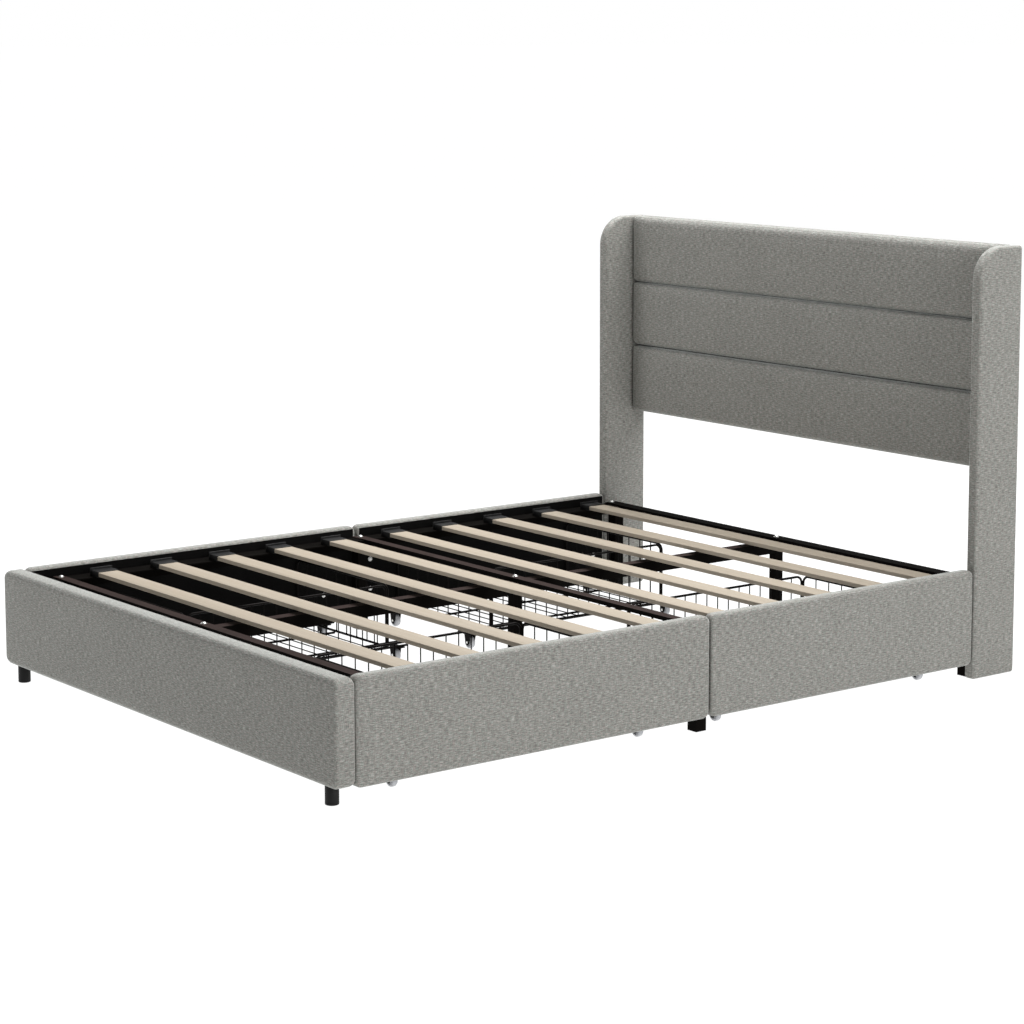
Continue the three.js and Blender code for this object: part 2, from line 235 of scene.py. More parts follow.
def melange_fabric():
    """Grey linen-look cloth: light and dark slubs along both threads, over a plain weave."""
    finish = Finish("melange_fabric", Roughness=0.95, Sheen_Weight=0.85, Sheen_Roughness=0.3,
                    Sheen_Tint=(0.93, 0.98, 0.96, 1), Specular_IOR_Level=0.15)
    weft, warp, knots = ((80, 480, 1), 0.42), ((560, 60, 1), 0.20), ((700, 900, 1), 0.38)
    dark, middle, light = (0.125, 0.124, 0.117), (0.250, 0.248, 0.235), (0.450, 0.446, 0.424)
    reddish, greenish = (1.0, 0.92, 0.91), (0.925, 1.0, 0.965)
    threads_per_metre = 560
    weave_share = 0.22
    place = finish.plane()
    slubs = finish.mixed_grain(place, (weft, warp, knots))
    threads = finish.ramp(slubs, ((0.36, dark), (0.50, middle), (0.64, light)))
    tint = finish.ramp(finish.grain(place, (130, 400, 1), 1.0), ((0.38, reddish), (0.62, greenish)))
    tinted = finish.blend(1.0, threads, tint, "MULTIPLY")
    cloud = finish.two_tone(finish.grain(place, (7, 7, 1), 3.0), (0.93, 0.93, 0.93), (1.0, 1.0, 1.0))
    finish.colour(finish.blend(1.0, tinted, cloud, "MULTIPLY"))
    weave = finish.thread_grid(place, threads_per_metre)
    finish.relief(finish.math("ADD", finish.math("MULTIPLY", weave, weave_share), slubs), 0.2 * MM)
    return finish.material


def lining_cloth():
    """Black non-woven backing, with the small dimples of its bonding."""
    finish = Finish("lining_cloth", Roughness=0.9, Specular_IOR_Level=0.06)
    dimples_per_metre = 330
    place = finish.plane()
    fibres = finish.grain(place, (420, 420, 1), 4.0, 0.7)
    finish.colour(finish.two_tone(fibres, (0.0016, 0.0016, 0.0015), (0.0055, 0.0052, 0.0050)))
    finish.relief(finish.thread_grid(place, dimples_per_metre), 0.25 * MM)
    return finish.material


def slat_wood():
    """Pale laminated poplar, with long soft grain and short pores."""
    finish = Finish("slat_wood", Specular_IOR_Level=0.2)
    band_height = 0.4
    place = finish.plane()
    bands = finish.grain(place, (2.2, 95, 1), 3.0, 0.6)
    pores = finish.grain(place, (28, 1400, 1), 2.0, 0.7)
    base = finish.two_tone(bands, (0.305, 0.262, 0.204), (0.349, 0.303, 0.244))
    marks = finish.ramp(pores, ((0.32, (0.86, 0.83, 0.79)), (0.46, (1.0, 1.0, 1.0))))
    finish.colour(finish.blend(1.0, base, marks, "MULTIPLY"))
    finish.roughness(bands, 0.52, 0.66)
    finish.relief(finish.math("ADD", pores, finish.math("MULTIPLY", bands, band_height)), 0.12 * MM)
    return finish.material


def powder_coat(name, upright, level, roughness, gloss):
    """Satin powder coat with orange-peel relief. Faces that look up take the level tones; where these are
    lighter, they are a painted reflection.
    """
    finish = Finish(name, Specular_IOR_Level=gloss, Specular_Tint=(1.0, 0.84, 0.79, 1))
    place = finish.space()
    tone = finish.grain(place, (12, 12, 12), 3.0)
    normal = finish.node("ShaderNodeNewGeometry").outputs["True Normal"]
    painted_top_mask = finish.node("ShaderNodeSeparateXYZ", {"Vector": normal}).outputs["Z"]
    # Painted reflection: faces that look up get the level tones, which are lighter on the frame rails.
    finish.colour(finish.blend(painted_top_mask, finish.two_tone(tone, *upright), finish.two_tone(tone, *level)))
    finish.roughness(tone, roughness - 0.06, roughness + 0.08)
    finish.relief(finish.grain(place, (900, 900, 900), 2.0), 0.08 * MM)
    return finish.material


def moulded_plastic(name, dark, light, roughness):
    """Moulded plastic with a fine etched texture."""
    finish = Finish(name, Specular_IOR_Level=0.25)
    place = finish.space()
    finish.colour(finish.two_tone(finish.grain(place, (60, 60, 60), 2.0), dark, light))
    etch = finish.grain(place, (2600, 2600, 2600), 2.0)
    finish.roughness(etch, roughness - 0.05, roughness + 0.1)
    finish.relief(etch, 0.05 * MM)
    return finish.material


def bright_zinc():
    """Zinc-plated fasteners, with the cloudy tone of the plating."""
    finish = Finish("bright_zinc", Metallic=1.0)
    tone = finish.grain(finish.space(), (500, 500, 500), 3.0)
    finish.colour(finish.two_tone(tone, (0.62, 0.62, 0.60), (0.86, 0.86, 0.84)))
    finish.roughness(tone, 0.2, 0.38)
    return finish.material


BLACK_COAT = (0.002, 0.0018, 0.0016), (0.004, 0.0035, 0.003)
# These brownish tones are a painted reflection: the light that the tops of the black rails catch at a low
# angle.
PAINTED_TOP_REFLECTION = (0.025, 0.018, 0.0165), (0.036, 0.026, 0.024)
WIRE_TONES = (0.0010, 0.0010, 0.0010), (0.0025, 0.0025, 0.0025)

FABRIC = melange_fabric()
LINING = lining_cloth()
WOOD = slat_wood()
STEEL = powder_coat("frame_powder_coat_painted_top_reflection", BLACK_COAT, PAINTED_TOP_REFLECTION, 0.7, 0.03)
DARK_STEEL = powder_coat("dark_powder_coat", BLACK_COAT, BLACK_COAT, 0.7, 0.02)
WIRE_COAT = powder_coat("wire_powder_coat", WIRE_TONES, WIRE_TONES, 0.5, 0.06)
BLACK_PLASTIC = moulded_plastic("black_plastic", (0.002, 0.002, 0.002), (0.005, 0.005, 0.005), 0.5)
WHEEL_PLASTIC = moulded_plastic("wheel_plastic", (0.40, 0.41, 0.43), (0.55, 0.56, 0.58), 0.26)
ZINC = bright_zinc()


# ---------------------------------------------------------------- mesh code


class Shape:
    """Closed bodies gathered into one mesh, in the frame's metres."""

    def __init__(self):
        self.points = []
        self.faces = []

    def add(self, points, faces):
        start = len(self.points)
        self.points.extend(points)
        self.faces.extend([start + index for index in face] for face in faces)

    def loft(self, rings):
        """A closed skin over rings of equal length, capped at both ends."""
        count = len(rings[0])
        faces = []
        for lower in range(len(rings) - 1):
            for index in range(count):
                beside = (index + 1) % count
                faces.append((lower * count + index, lower * count + beside,
                              (lower + 1) * count + beside, (lower + 1) * count + index))
        faces.append(range(count))
        faces.append(range((len(rings) - 1) * count, len(rings) * count))
        self.add([point for ring in rings for point in ring], faces)

    def wire(self, path, radius, sides=THIN_WIRE_SIDES):
        """A round wire along a path, with slightly rounded ends."""
        tip, shoulder = 0.6, 0.4
        rings = []
        across = (path[1] - path[0]).orthogonal().normalized()
        for index, point in enumerate(path):
            ahead = path[min(index + 1, len(path) - 1)] - path[max(index - 1, 0)]
            ahead.normalize()
            across = (across - ahead * across.dot(ahead)).normalized()
            beside = ahead.cross(across)
            turns = [2 * math.pi * side / sides for side in range(sides)]
            ring = [(across * math.cos(turn) + beside * math.sin(turn)) * radius for turn in turns]
            if index == 0:
                rings.append([point + spoke * tip for spoke in ring])
                point = point + ahead * radius * shoulder
            if index == len(path) - 1:
                end = point
                point = point - ahead * radius * shoulder
                rings.append([point + spoke for spoke in ring])
                rings.append([end + spoke * tip for spoke in ring])
            else:
                rings.append([point + spoke for spoke in ring])
        self.loft(rings)

    def lathe(self, centre, axis, profile, steps=TURNED_STEPS):
        """A turned body. The profile is a list of (radius, height) from one end of the axis to the other."""
        across = axis.orthogonal().normalized()
        beside = axis.cross(across)
        turns = [2 * math.pi * step / steps for step in range(steps)]
        spokes = [across * math.cos(turn) + beside * math.sin(turn) for turn in turns]
        rings = [[centre + axis * height + spoke * radius for spoke in spokes] for radius, height in profile]
        self.loft(rings)

    def block(self, low, high, round_off):
        """A box with rounded edges, lofted up from its lowest face."""
        least_corner = round_off * 0.15
        layers = []
        for step in range(ARC_STEPS + 1):
            turn = math.pi / 2 * step / ARC_STEPS
            layers.append((round_off * (1 - math.sin(turn)), round_off * (1 - math.cos(turn))))
        layers.reverse()
        stack = [(low.z + lift, inset) for lift, inset in layers]
        stack += [(high.z - lift, inset) for lift, inset in reversed(layers)]
        rings = []
        for z, inset in stack:
            radius = max(round_off - inset, least_corner)
            sides = (low.x + inset, high.x - inset, low.y + inset, high.y - inset)
            rings.append(rounded_ring(*sides, radius, z))
        self.loft(rings)

    def plate(self, outline, low, high):
        """A flat plate: the outline's points moved by low and by high."""
        self.loft([[point + low for point in outline], [point + high for point in outline]])


def rounded_ring(left, right, front, back, radius, z=0):
    """A rectangle with round corners, level at z."""
    points = []
    corners = ((right - radius, back - radius, 0), (left + radius, back - radius, 1),
               (left + radius, front + radius, 2), (right - radius, front + radius, 3))
    for x, y, quarter in corners:
        for step in range(ARC_STEPS + 1):
            turn = math.pi / 2 * (quarter + step / ARC_STEPS)
            points.append(Vector((x + radius * math.cos(turn), y + radius * math.sin(turn), z)))
    return points


def bent_path(points, bend):
    """The points joined by straight runs, with an arc at each inner point."""
    path = [points[0]]
    for before, corner, after in zip(points, points[1:], points[2:]):
        back = (before - corner).normalized()
        onward = (after - corner).normalized()
        half = back.angle(onward) / 2
        reach = bend / math.tan(half)
        centre = corner + (back + onward).normalized() * (bend / math.sin(half))
        first = (corner + back * reach - centre).normalized()
        last = (corner + onward * reach - centre).normalized()
        for step in range(BEND_STEPS + 1):
            path.append(centre + first.slerp(last, step / BEND_STEPS) * bend)
    return path + [points[-1]]


def cloth_map(mesh):
    """Lays a map in metres over the mesh, seen square on from the nearest axis."""
    layer = mesh.uv_layers.new(name="cloth")
    planes = ((1, 2), (0, 2), (0, 1))
    for face in mesh.polygons:
        sizes = [abs(value) for value in face.normal]
        across, up = planes[sizes.index(max(sizes))]
        for loop in face.loop_indices:
            place = mesh.vertices[mesh.loops[loop].vertex_index].co
            layer.data[loop].uv = (place[across], place[up])


def piece(name, shape, material, body="root", nodes=()):
    """Makes one visible piece and says where it belongs."""
    mesh = bpy.data.meshes.new(name)
    mesh.from_pydata(shape.points, [], [list(face) for face in shape.faces])
    work = bmesh.new()
    work.from_mesh(mesh)
    bmesh.ops.recalc_face_normals(work, faces=work.faces)
    work.to_mesh(mesh)
    work.free()
    mesh.shade_smooth()
    mesh.set_sharp_from_angle(angle=SHARP_EDGE)
    cloth_map(mesh)
    mesh.materials.append(material)
    made = bpy.data.objects.new(name, mesh)
    SCENE.collection.objects.link(made)
    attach(made, body)
    if nodes:
        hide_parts(*nodes)
    return made


# ---------------------------------------------------------------- padded boards


def stations(length, low_round, high_round, low_fine, high_fine):
    """Distances from 0 to length, close together at the two ends."""

    def edge(round_off, fine):
        near = [round_off * step / ROUND_STEPS for step in range(ROUND_STEPS)]
        steps = max(1, math.ceil((fine - round_off) / FINE_STEP))
        return near + [round_off + (fine - round_off) * step / steps for step in range(steps)]

    low = edge(low_round, low_fine)
    high = [length - place for place in edge(high_round, high_fine)][::-1]
    inner = length - low_fine - high_fine
    count = max(1, math.ceil(inner / BOARD_PITCH))
    return low + [low_fine + inner * step / count for step in range(count + 1)] + high


class PaddedBoard:
    """A board with foam and cloth over it, in its own frame: along, up and out of the padded face."""

    def __init__(self, width, height, depth, rounds, corners, crown, back_crown=0.0, reach=FOAM_REACH,
                 top_reach=None, wave=CLOTH_WAVE):
        """Rounds are for the ends, the low edge and the high edge. Corners go round from low left."""
        self.size = (width, height, depth)
        self.rounds = rounds
        self.corners = corners
        self.crown = crown
        self.back_crown = back_crown
        self.reach = reach
        self.top_reach = top_reach or reach
        self.wave = wave
        ends, low, high = rounds
        fine = {side: max(corners[corner] for corner in pair) for side, pair in
                {"left": (0, 3), "right": (1, 2), "low": (0, 1), "high": (2, 3)}.items()}
        self.along = stations(width, ends, ends, fine["left"], fine["right"])
        self.up = stations(height, low, high, fine["low"], fine["high"])

    def outline(self, along, up):
        """The grid point moved inside the round corners, its distance from the edge and its way out."""
        width, height, _ = self.size
        for index, radius in enumerate(self.corners):
            right = index in (1, 2)
            upper = index in (2, 3)
            centre = (width - radius if right else radius, height - radius if upper else radius)
            a = (along - centre[0]) * (1 if right else -1)
            b = (up - centre[1]) * (1 if upper else -1)
            if a > 0 and b > 0:
                reach = max(a, b)
                length = math.hypot(a, b)
                way = (a / length * (1 if right else -1), b / length * (1 if upper else -1))
                return (centre[0] + way[0] * reach, centre[1] + way[1] * reach), radius - reach, way
        sides = ((along, (-1, 0)), (width - along, (1, 0)), (up, (0, -1)), (height - up, (0, 1)))
        distance, way = min(sides)
        return (along, up), distance, way

    def edge_round(self, way):
        """The radius of the board's edge where it faces the given way."""
        ends, low, high = self.rounds
        return ends * way[0] ** 2 + (high if way[1] > 0 else low) * way[1] ** 2

    def rise(self, along, up):
        """How far the foam has risen towards its full crown, from 0 at the edges to 1."""
        width, height, _ = self.size
        share = 1.0
        for distance, reach in ((along, self.reach), (width - along, self.reach), (up, self.reach),
                                (height - up, self.top_reach)):
            share *= 1 - (1 - min(max(distance, 0) / reach, 1)) ** 2
        return share

    def surface(self, along, up, depth):
        """A point of the plain box moved onto the padded board."""
        point, distance, way = self.outline(along, up)
        thick = self.size[2] - self.crown - self.back_crown
        radius = min(self.edge_round(way), thick / 2)
        out = depth * thick
        front = depth > 0.5
        below = thick - out if front else out
        rise = self.rise(along, up)
        if distance < radius and below < radius:
            a, b = radius - distance, radius - below
            length = math.hypot(a, b) or 1
            shift = distance - radius + radius * a / length
            point = (point[0] + way[0] * shift, point[1] + way[1] * shift)
            below = radius - radius * b / length
            out = thick - below if front else below
        place = Vector((point[0], point[1], CLOTH_WAVE_LEVEL)) * CLOTH_WAVE_SCALE
        swell = noise.noise(place) + RIPPLE["share"] * noise.noise(place * RIPPLE["scale"])
        wave = self.wave * swell * rise
        lift = self.back_crown
        if depth == 1:
            lift += self.crown * rise + wave - self.wave
        if depth == 0:
            lift -= self.back_crown * rise
        return point[0], point[1], out + lift

    def build(self):
        """The points and faces of both sides and of the edge between them."""
        columns, rows = len(self.along), len(self.up)
        thick = self.size[2]
        round_share = max(self.rounds) / thick
        depths = [round_share * step / ROUND_STEPS for step in range(1, ROUND_STEPS)]
        if round_share < 0.5:
            depths = depths + [round_share, 1 - round_share] + [1 - depth for depth in reversed(depths)]
        else:
            depths = [step / THIN_EDGE_BANDS for step in range(1, THIN_EDGE_BANDS)]
        points = []
        faces = []
        for depth in (0, 1):
            base = len(points)
            for along in self.along:
                points.extend(self.surface(along, up, depth) for up in self.up)
            for column in range(columns - 1):
                for row in range(rows - 1):
                    corner = base + column * rows + row
                    faces.append((corner, corner + rows, corner + rows + 1, corner + 1))
        rim = [(column, 0) for column in range(columns - 1)]
        rim += [(columns - 1, row) for row in range(rows - 1)]
        rim += [(column, rows - 1) for column in range(columns - 1, 0, -1)]
        rim += [(0, row) for row in range(rows - 1, 0, -1)]
        loops = [[column * rows + row for column, row in rim]]
        for depth in depths:
            loops.append(list(range(len(points), len(points) + len(rim))))
            points.extend(self.surface(self.along[column], self.up[row], depth) for column, row in rim)
        loops.append([columns * rows + column * rows + row for column, row in rim])
        for lower, upper in zip(loops, loops[1:]):
            for index in range(len(rim)):
                beside = (index + 1) % len(rim)
                faces.append((lower[index], lower[beside], upper[beside], upper[index]))
        return points, faces

    def shape(self, origin, along, up, out):
        """The board with its own frame laid on the given directions, from its low corner at the back."""
        points, faces = self.build()
        made = Shape()
        made.add([origin + along * a + up * b + out * c for a, b, c in points], faces)
        return made


def make_footboard():
    low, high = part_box("footboard")
    corner = 20 * MM
    board = PaddedBoard(high.x - low.x, high.z - low.z, high.y - low.y, (END_ROUND, FACE_ROUND, FACE_ROUND),
                        [corner] * 4, crown=2.5 * MM)
    shape = board.shape(Vector((low.x, high.y, low.z)), X, Z, -Y)
    made = piece("footboard_cover", shape, FABRIC, nodes=["footboard"])


def make_wing(side):
    node = f"wing_{side}"
    low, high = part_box(node)
    small = 8 * MM
    board = PaddedBoard(high.y - low.y, high.z - low.z, high.x - low.x, (6 * MM, 6 * MM, 7 * MM),
                        [small, small, small, WING_TOP_ROUND], crown=1.2 * MM, back_crown=0.8 * MM,
                        reach=30 * MM)
    sign = SIDES[side]
    inner = low.x if sign > 0 else high.x
    shape = board.shape(Vector((inner, low.y, low.z)), Y, Z, X * sign)
    made = piece(f"{node}_cover", shape, FABRIC, nodes=[node])


def make_headboard():
    """Three padded channels side by side on one covered backing board."""
    low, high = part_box("headboard_panel")
    height = high.z - low.z
    edges = [low.z] + [low.z + share * height for share in CHANNEL_SEAMS] + [high.z]
    names = ("lower", "middle", "upper")
    rounds = ((6 * MM, 12 * MM, 5 * MM), (6 * MM, 28 * MM, 5 * MM), (6 * MM, 28 * MM, 24 * MM))
    top_reaches = (16 * MM, 16 * MM, 45 * MM)
    corners = [12 * MM] * 2 + [8 * MM] * 2
    width = high.x - low.x - 2 * CHANNEL_INSET
    for name, base, top, edge_rounds, top_reach in zip(names, edges, edges[1:], rounds, top_reaches):
        board = PaddedBoard(width, top - base - CHANNEL_GAP, CHANNEL_DEPTH, edge_rounds, corners,
                            crown=8 * MM, reach=60 * MM, top_reach=top_reach, wave=0.6 * MM)
        lift = 0 if name == "lower" else CHANNEL_GAP
        shape = board.shape(Vector((low.x + CHANNEL_INSET, low.y + CHANNEL_DEPTH, base + lift)), X, Z, -Y)
        made = piece(f"headboard_channel_{name}", shape, FABRIC, nodes=["headboard_panel"])
    depth = high.y - low.y - CHANNEL_DEPTH - BACKING_GAP
    backing = PaddedBoard(high.x - low.x, height, depth, (6 * MM, 6 * MM, 8 * MM), [8 * MM] * 4,
                          crown=0.0, wave=0.2 * MM)
    origin = Vector((high.x, high.y - depth, low.z))
    piece("headboard_backing", backing.shape(origin, -X, Z, Y), FABRIC, nodes=["headboard_panel"])


def make_drawer_front(side, row):
    """The padded board, and on its inner face the black lining and the bolts that hold the basket."""
    body = f"drawer_{side}_{row}"
    node = f"{body}_front"
    low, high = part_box(node)
    sign = SIDES[side]
    inner = low.x if sign > 0 else high.x
    corner = 16 * MM
    recess = LINING_THICK * LINING_SHARE_OUT
    rounds = (END_ROUND + 1 * MM, DRAWER_FACE_ROUND, DRAWER_FACE_ROUND)
    board = PaddedBoard(high.y - low.y, high.z - low.z, high.x - low.x - recess, rounds, [corner] * 4,
                        crown=2 * MM)
    shape = board.shape(Vector((inner + sign * recess, low.y, low.z)), Y, Z, X * sign)
    made = piece(f"{node}_cover", shape, FABRIC, body, nodes=[node])

    lining = Shape()
    faces = sorted((inner, inner + sign * LINING_THICK))
    lining.block(Vector((faces[0], low.y + LINING_EDGE, low.z + LINING_EDGE)),
                 Vector((faces[1], high.y - LINING_EDGE, high.z - LINING_EDGE)), LINING_ROUND)
    piece(f"{node}_lining", lining, LINING, body)

    bolts = Shape()
    inward, outward = LINING_BOLTS[row]
    places = (high.y - inward, low.y + outward) if row == "foot" else (low.y + inward, high.y - outward)
    for y in places:
        for z in LINING_BOLT_HEIGHTS:
            dome(bolts, Vector((inner, y, z)), X * -sign, LINING_BOLT_HEAD)
    piece(f"{node}_bolts", bolts, ZINC, body)


# ---------------------------------------------------------------- slats and steel deck


def make_slat(name):
    """One board with eased edges, very slightly bowed along its length."""
    low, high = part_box(name)
    section = rounded_ring(low.y - SLAT_SIDE, high.y + SLAT_SIDE, low.z + SLAT_SEAT, high.z, SLAT_EASE)
    rings = []
    for step in range(SLAT_STEPS + 1):
        share = step / SLAT_STEPS
        x = low.x + (high.x - low.x) * share
        bow = math.sin(share * SLAT_BOW["turns"] + low.y * SLAT_BOW["phase"]) - 1
        rings.append([Vector((x, point.x, point.y + bow * SLAT_BOW["depth"])) for point in section])
    shape = Shape()
    shape.loft(rings)
    piece(f"{name}_board", shape, WOOD, nodes=[name])


def make_slat_caps():
    """Black seats under the ends of the slats. The left ones wrap over the slat, the right ones stay low."""
    shape = Shape()
    wall = SLAT_CAP["wall"]
    for name in SLATS:
        low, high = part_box(name)
        tip = high.x + SLAT_CAP["reach"]
        for sign in SIDES.values():
            wraps = sign < 0
            inner = high.x - SLAT_CAP["cover"] if wraps else high.x + SLAT_CAP["gap"]
            top = high.z + SLAT_CAP["lift"] if wraps else high.z - wall
            ends = sorted((sign * inner, sign * tip))
            shape.block(Vector((ends[0], low.y - wall, low.z)), Vector((ends[1], high.y + wall, top)),
                        SLAT_CAP["round"])
            if wraps:
                shape.block(Vector((-tip, low.y - 2 * wall, low.z)),
                            Vector((wall - tip, high.y + 2 * wall, top + 2 * wall)), SLAT_CAP["round"])
    piece("slat_end_holders", shape, BLACK_PLASTIC)


def dome(shape, place, axis, radius):
    """A round-headed bolt on a thin washer, standing on a face."""
    base = WASHER["thick"] + WASHER["chamfer"]
    washer = radius * WASHER["reach"]
    profile = [(washer, 0), (washer, WASHER["thick"]), (radius, base)]
    for step in range(1, DOME["steps"]):
        turn = math.pi / 2 * step / DOME["steps"]
        profile.append((radius * math.cos(turn), base + radius * DOME["rise"] * math.sin(turn)))
    profile.append((radius * DOME["flat"], base + radius * DOME["rise"]))
    shape.lathe(place, axis, profile)


def make_deck_bolts():
    """Three bolts down through each cross rail: at both ends and into the centre beam."""
    shape = Shape()
    for row, width in DECK_RAIL_WIDTH.items():
        low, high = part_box(f"{row}_cross_rail")
        middle = (low.y + high.y) / 2 if row == "mid" else low.y + width / 2
        left = HEAD_LEFT_BOLT_PLACE if row == "head" else DECK_BOLT_PLACE
        for x in (-left, 0, DECK_BOLT_PLACE):
            dome(shape, Vector((x, middle, high.z - DECK_BOLT_SINK)), Z, DECK_BOLT_HEAD)
    piece("deck_bolts", shape, ZINC)


def make_foot_leg(side):
    """A turned leg with chamfered ends and a groove round its foot."""
    node = f"foot_leg_{side}"
    low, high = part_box(node)
    centre = Vector(((low.x + high.x) / 2, (low.y + high.y) / 2, 0))
    radius = (high.x - low.x) / 2
    neck = radius - LEG_GROOVE["depth"]
    slope = LEG_GROOVE["slope"]
    heel = 0.3 * LEG_CHAMFER
    profile = [(radius * 0.3, 0), (radius - LEG_CHAMFER, 0), (radius - heel, heel),
               (radius, LEG_CHAMFER), (radius, LEG_GROOVE["low"]), (neck, LEG_GROOVE["low"] + slope),
               (neck, LEG_GROOVE["high"] - slope), (radius, LEG_GROOVE["high"]),
               (radius, high.z - LEG_CHAMFER), (neck, high.z)]
    shape = Shape()
    shape.lathe(centre, Z, profile, LEG_STEPS)
    piece(f"{node}_turned", shape, BLACK_PLASTIC, nodes=[node])


# ---------------------------------------------------------------- drawer baskets


def spread(low, high, pitch):
    """Even places between low and high, without the two ends."""
    count = max(1, round((high - low) / pitch))
    return [low + (high - low) * step / count for step in range(1, count)]


def make_basket_side(body, end, sign):
    """A bent rim wire with upright wires under it."""
    node = f"{body}_basket_side_{end}"
    low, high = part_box(node)
    y = (low.y + high.y) / 2
    back, front = sorted((abs(low.x), abs(high.x)))
    back, front = back + FRAME_WIRE, front - FRAME_WIRE
    rim = high.z - FRAME_WIRE
    shape = Shape()
    corners = [Vector((sign * back, y, BASKET_FLOOR)), Vector((sign * back, y, rim)),
               Vector((sign * front, y, rim)), Vector((sign * front, y, BASKET_FLOOR))]
    shape.wire(bent_path(corners, RIM_BEND), FRAME_WIRE, THICK_WIRE_SIDES)
    for x in spread(back, front, SIDE_PITCH):
        shape.wire([Vector((sign * x, y, BASKET_FLOOR)), Vector((sign * x, y, rim))], WIRE)
    piece(f"{node}_wires", shape, WIRE_COAT, body, nodes=[node])


def make_basket_back(body):
    """The panel towards the bed's middle, made like the sides."""
    node = f"{body}_basket_back"
    low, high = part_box(node)
    x = (low.x + high.x) / 2
    first, last = low.y + FRAME_WIRE, high.y - FRAME_WIRE
    rim = high.z - FRAME_WIRE
    shape = Shape()
    corners = [Vector((x, first, BASKET_FLOOR)), Vector((x, first, rim)),
               Vector((x, last, rim)), Vector((x, last, BASKET_FLOOR))]
    shape.wire(bent_path(corners, RIM_BEND), FRAME_WIRE, THICK_WIRE_SIDES)
    for y in spread(first, last, BACK_PITCH):
        shape.wire([Vector((x, y, BASKET_FLOOR)), Vector((x, y, rim))], WIRE)
    piece(f"{node}_wires", shape, WIRE_COAT, body, nodes=[node])


def make_basket_floor(body, sign):
    """Floor wires in a thick border, on the bars that carry the casters. Returns the bars' height."""
    node = f"{body}_basket_bottom"
    low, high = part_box(node)
    back_low, back_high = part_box(f"{body}_basket_back")
    side_low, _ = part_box(f"{body}_basket_side_foot")
    _, side_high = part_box(f"{body}_basket_side_head")
    near, far = side_low.y + FLOOR_EDGE, side_high.y - FLOOR_EDGE
    back, front = sorted((abs(low.x), abs(high.x)))
    back, front = back + FLOOR_EDGE, front - FRAME_WIRE
    shape = Shape()

    def across(y, radius, sides=THIN_WIRE_SIDES):
        ends = [Vector((sign * x, y, BASKET_FLOOR)) for x in (back, front)]
        shape.wire(ends, radius, sides)

    def lengthwise(x, first, last, height, radius):
        shape.wire([Vector((x, first, height)), Vector((x, last, height))], radius, THICK_WIRE_SIDES)

    for y in (near, far):
        across(y, FRAME_WIRE, THICK_WIRE_SIDES)
    for x in (back, front):
        lengthwise(sign * x, near, far, BASKET_FLOOR, FRAME_WIRE)
    for y in spread(back_low.y + FRAME_WIRE, back_high.y - FRAME_WIRE, BACK_PITCH):
        across(y, WIRE)
    bars = BASKET_FLOOR - WIRE - BAR
    lengthwise(sign * MIDDLE_BAR_PLACE, near, far, bars, BAR)
    for end in ("back", "front"):
        wheel_low, wheel_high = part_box(f"{body}_wheel_{end}_foot")
        centre = abs(wheel_low.x + wheel_high.x) / 2
        for offset in (-CASTER_BAR_OFFSET, CASTER_BAR_OFFSET):
            lengthwise(sign * (centre + offset), low.y, high.y, bars, BAR)
    piece(f"{node}_wires", shape, WIRE_COAT, body, nodes=[node])
    return bars


def wheels_of(body):
    return [f"{body}_wheel_{end}_{row}" for end in ("back", "front") for row in ENDS]


def make_forks(body, bars):
    """Each caster's top plate, with a cheek on either side of the wheel."""
    shape = Shape()
    for wheel in wheels_of(body):
        low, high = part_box(wheel)
        centre = (low + high) / 2
        half = (high.y - low.y) / 2
        top = bars - BAR
        reach = Vector((FORK_PLATE["half_length"], half + FORK_PLATE["overhang"], 0))
        over = Vector((centre.x, centre.y, top))
        shape.block(over - reach - Z * FORK_PLATE["thick"], over + reach, FORK_PLATE["round"])
        neck = top - FORK_CHEEK["overlap"]
        outline = [Vector((centre.x + way * FORK_CHEEK["half_top"], 0, neck)) for way in (1, -1)]
        for step in range(FORK_EYE_ARC["steps"] + 1):
            turn = math.radians(FORK_EYE_ARC["from"] + FORK_EYE_ARC["sweep"] * step / FORK_EYE_ARC["steps"])
            outline.append(Vector((centre.x + FORK_CHEEK["eye"] * math.cos(turn), 0,
                                   centre.z + FORK_CHEEK["eye"] * math.sin(turn))))
        for way in (-1, 1):
            inner = half + FORK_CHEEK["gap"]
            faces = sorted(centre.y + way * place for place in (inner, inner + FORK_CHEEK["thick"]))
            shape.plate(outline, Y * faces[0], Y * faces[1])
    piece(f"{body}_caster_forks", shape, WIRE_COAT, body)


def make_pins(body):
    """Each caster's pin, with a chamfered head outside both cheeks."""
    pins = Shape()
    for wheel in wheels_of(body):
        low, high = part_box(wheel)
        reach = (high.y - low.y) / 2 + FORK_CHEEK["gap"] + FORK_CHEEK["thick"]
        half = [(PIN["shank"], reach), (PIN["rim"], reach), (PIN["face"], reach + PIN["side"]),
                (PIN["tip"], reach + PIN["head"])]
        pins.lathe((low + high) / 2, Y, [(radius, -height) for radius, height in reversed(half)] + half)
    piece(f"{body}_caster_pins", pins, ZINC, body)


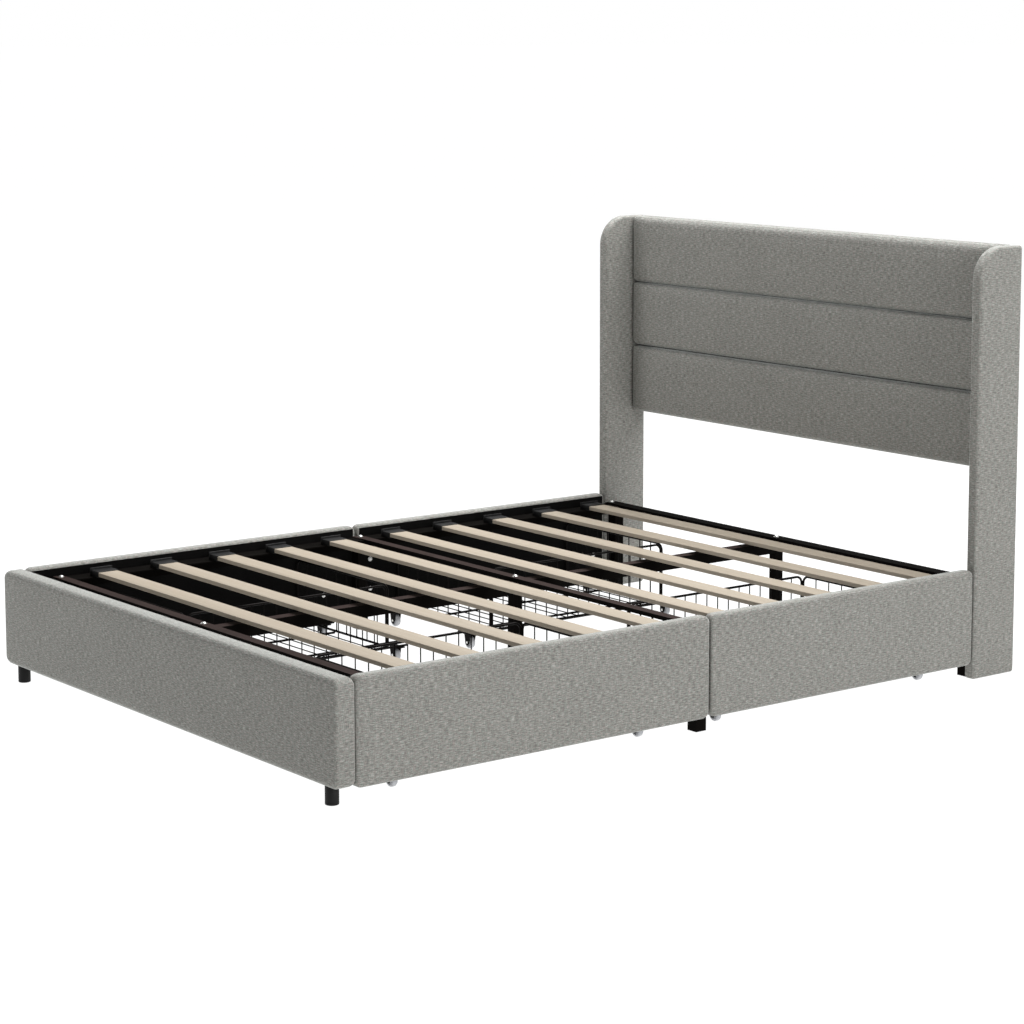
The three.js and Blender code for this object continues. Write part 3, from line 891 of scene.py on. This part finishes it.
def make_wheel(node):
    """A turned wheel round an open bore, with a sunk web on both faces."""
    low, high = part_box(node)
    centre = (low + high) / 2
    radius = (high.z - low.z) / 2
    half = (high.y - low.y) / 2
    face = [(place * MM, half - sunk * MM) for place, sunk in WHEEL_FACE]
    side = [(WHEEL_BORE, 0.0)] + face + [(radius, half - TREAD_EDGE), (radius, 0.0)]
    outer = side + [(r, -h) for r, h in reversed(side[1:-1])]
    points = []
    for r, height in outer:
        for step in range(WHEEL_STEPS):
            turn = 2 * math.pi * step / WHEEL_STEPS
            points.append(centre + Vector((r * math.cos(turn), height, r * math.sin(turn))))
    faces = []
    for index in range(len(outer)):
        this = index * WHEEL_STEPS
        onward = (index + 1) % len(outer) * WHEEL_STEPS
        for step in range(WHEEL_STEPS):
            beside = (step + 1) % WHEEL_STEPS
            faces.append((this + step, this + beside, onward + beside, onward + step))
    shape = Shape()
    shape.add(points, faces)
    piece(f"{node}_turned", shape, WHEEL_PLASTIC, node, nodes=[node])


def make_drawer(side, row):
    body = f"drawer_{side}_{row}"
    sign = SIDES[side]
    make_drawer_front(side, row)
    for end in ENDS:
        make_basket_side(body, end, sign)
    make_basket_back(body)
    bars = make_basket_floor(body, sign)
    make_forks(body, bars)
    make_pins(body)
    for wheel in wheels_of(body):
        make_wheel(wheel)


# ---------------------------------------------------------------- the bed


def finish_steel():
    """The deck's steel keeps its CAD shape and takes the powder coat. The foot and middle rails and the
    centre beam have a painted reflection on their tops.
    """
    # Their coat paints a brownish reflection on faces that look up; the other rails stay black all over.
    painted_reflection_nodes = ["foot_cross_rail", "mid_cross_rail", "centre_beam"]
    dark = [f"side_rail_{side}_{row}" for side in SIDES for row in ROWS] + ["head_cross_rail"]
    for nodes, coat in ((painted_reflection_nodes, STEEL), (dark, DARK_STEEL)):
        for node in nodes:
            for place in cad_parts[node].material_slots:
                place.material = coat


make_footboard()
for side in SIDES:
    make_foot_leg(side)
    make_wing(side)
make_headboard()
for name in SLATS:
    make_slat(name)
make_slat_caps()
make_deck_bolts()
finish_steel()
for side in SIDES:
    for row in ROWS:
        make_drawer(side, row)


# ---------------------------------------------------------------- floor, light and camera


def make_floor():
    """A white floor, large enough to pass the horizon of every view."""
    reach = 300.0
    mesh = bpy.data.meshes.new("studio_floor")
    corners = [(-reach, -reach, 0), (reach, -reach, 0), (reach, reach, 0), (-reach, reach, 0)]
    mesh.from_pydata(corners, [], [(0, 1, 2, 3)])
    finish = Finish("studio_floor", Roughness=1.0, Base_Color=(0.1, 0.1, 0.1, 1), Specular_IOR_Level=0.0,
                    Emission_Color=(1, 1, 1, 1), Emission_Strength=0.99)
    mesh.materials.append(finish.material)
    made = bpy.data.objects.new("studio_floor", mesh)
    SCENE.collection.objects.link(made)


def make_light(name, place, target, size, power):
    """A soft rectangular lamp that faces its target."""
    lamp = bpy.data.lights.new(name, "AREA")
    lamp.shape = "RECTANGLE"
    lamp.size, lamp.size_y = size
    lamp.energy = power
    made = bpy.data.objects.new(name, lamp)
    made.location = place
    made.rotation_euler = (Vector(target) - Vector(place)).to_track_quat("-Z", "Y").to_euler()
    SCENE.collection.objects.link(made)


def make_world():
    """A white backdrop at the horizon under a dim ceiling."""
    world = bpy.data.worlds.new("studio")
    world.use_nodes = True
    tree = world.node_tree
    place = tree.nodes.new("ShaderNodeTexCoord")
    split = tree.nodes.new("ShaderNodeSeparateXYZ")
    rise = tree.nodes.new("ShaderNodeMapRange")
    rise.interpolation_type = "SMOOTHSTEP"
    for socket, value in {"From Min": 0.06, "From Max": 0.18, "To Min": 1.0, "To Max": 0.12}.items():
        rise.inputs[socket].default_value = value
    tree.links.new(place.outputs["Generated"], split.inputs["Vector"])
    tree.links.new(split.outputs["Z"], rise.inputs["Value"])
    tree.links.new(rise.outputs["Result"], tree.nodes["Background"].inputs["Strength"])
    tree.nodes["Background"].inputs["Color"].default_value = (1, 1, 1, 1)
    SCENE.world = world


def make_camera():
    """The photographer's place: beyond the foot end, to the right, a little above the headboard."""
    lens = bpy.data.cameras.new("camera")
    lens.lens = 96.08
    lens.shift_x = -0.0252
    lens.shift_y = -0.12
    made = bpy.data.objects.new("camera", lens)
    made.location = (5.2634, -4.0005, 1.573)
    made.rotation_euler = (math.radians(90 - 7.4045), 0, math.radians(52.2234))
    SCENE.collection.objects.link(made)
    SCENE.camera = made


make_floor()
make_world()
make_light("overhead", (-0.4, 2.3, 5.0), (0, 1.0, 0), (5, 4.6), 740)
make_light("right_side", (6.0, 0.2, 2.3), (0, 0, 0.4), (3, 3), 160)
make_light("left_side", (-3.5, -3.2, 1.6), (0, -0.4, 0.4), (2.0, 2.0), 44)
make_camera()
SCENE.view_settings.view_transform = "Standard"
